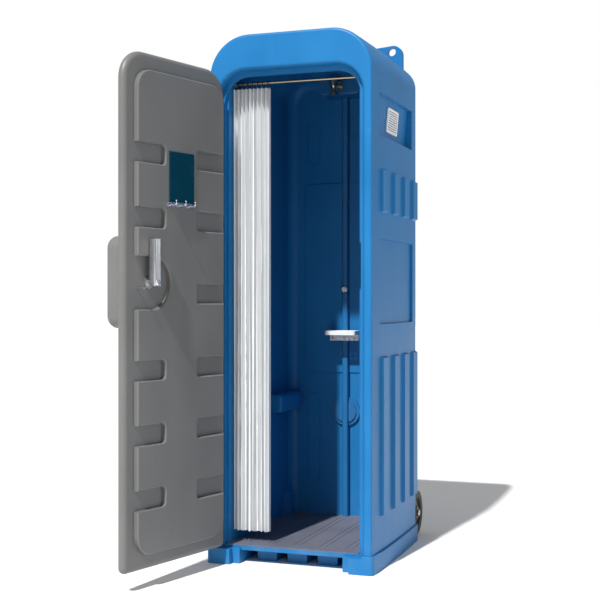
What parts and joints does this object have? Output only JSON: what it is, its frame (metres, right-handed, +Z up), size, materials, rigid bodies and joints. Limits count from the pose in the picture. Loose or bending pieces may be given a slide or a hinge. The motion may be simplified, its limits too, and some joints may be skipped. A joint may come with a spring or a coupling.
{
  "type": "portable shower cubicle",
  "caption": "Upright moulded shower cabin on rear wheels with a hinged door, curtain on a rod, overhead nozzle, push button, swing-bar latch and lifting lugs.",
  "frame": {"origin": "on the ground at the centre of the cabin's footprint, at the bottom of the middle floor runner", "axes": "+X to the right for a person facing the door, +Y to the back, +Z up"},
  "size_m": [0.9502, 1.6092, 2.35],
  "materials": {
    "shell": "moulded, satin",
    "deck": "moulded, satin",
    "tray": "moulded, fine texture",
    "steel": "brushed",
    "chrome": "polished",
    "aluminium": "extruded, satin",
    "door": "moulded, satin",
    "mirror": "polished",
    "white": "satin",
    "conduit": "moulded, satin",
    "brass": "satin",
    "rings": "gloss",
    "cloth": "woven, coated",
    "tyre": "ribbed",
    "hub": "satin"
  },
  "bodies": {
    "cabin": {"axle_caps": "chrome", "button_bezel": "chrome", "corner_post_left": "shell", "corner_post_right": "shell", "corner_shelf": "shell", "curtain_rod": "brass", "dish_bracket": "white", "dish_screws": "steel", "floor_deck": "deck", "floor_drain": "steel", "floor_runners": "deck", "floor_tray": "tray", "front_frame": "shell", "hinge_brackets": "steel", "hinge_pins": "steel", "inlet_boss": "conduit", "lifting_lug_left": "shell", "lifting_lug_right": "shell", "nozzle_socket": "brass", "rear_panel": "shell", "rear_wall": "shell", "riser_cover": "conduit", "rod_brackets": "brass", "roof": "shell", "shower_housing": "conduit", "side_wall_left": "shell", "side_wall_right": "shell", "skirt_left": "shell", "skirt_right": "shell", "soap_dish": "white", "vent_grille_left": "white", "vent_grille_right": "white", "wheel_arch_left": "shell", "wheel_arch_right": "shell", "wheel_axles": "steel"},
    "door": {"door_leaf": "door", "door_liner": "door", "door_grip": "door", "mirror": "mirror", "mirror_shelf": "steel", "coat_hooks": "steel", "latch_post": "steel", "latch_cap": "chrome", "stop_pin": "steel", "hinge_straps": "steel"},
    "latch": {"latch_bar": "aluminium"},
    "wheel_left": {"tyre_left": "tyre", "wheel_hub_left": "hub"},
    "wheel_right": {"tyre_right": "tyre", "wheel_hub_right": "hub"},
    "curtain": {"curtain": "cloth", "curtain_rings": "rings"},
    "nozzle": {"shower_nozzle": "brass"},
    "button": {"push_button": "white"}
  },
  "joints": [
    {"name": "door_hinge", "type": "hinge", "parent": "cabin", "child": "door", "pos_m": [-0.323, -0.434, 0], "axis": [0, 0, 1], "range_deg": [-6, 104.5]},
    {"name": "latch_swing", "type": "hinge", "parent": "door", "child": "latch", "pos_m": [-0.39569, -0.93475, 1.218], "axis": [0.9681, -0.2504, 0], "range_deg": [0, 90]},
    {"name": "wheel_left_spin", "type": "hinge", "parent": "cabin", "child": "wheel_left", "pos_m": [-0.325, 0.44, 0.108], "axis": [1, 0, 0], "continuous": true},
    {"name": "wheel_right_spin", "type": "hinge", "parent": "cabin", "child": "wheel_right", "pos_m": [0.325, 0.44, 0.108], "axis": [1, 0, 0], "continuous": true},
    {"name": "curtain_slide", "type": "slide", "parent": "cabin", "child": "curtain", "axis": [1, 0, 0], "range_m": [0, 0.4]},
    {"name": "nozzle_tilt", "type": "hinge", "parent": "cabin", "child": "nozzle", "pos_m": [0, 0.19, 2.173], "axis": [1, 0, 0], "range_deg": [-18, 18]},
    {"name": "button_press", "type": "slide", "parent": "cabin", "child": "button", "axis": [0, 1, 0], "range_m": [0, 0.006], "stiffness_N_per_m": 400}
  ]
}
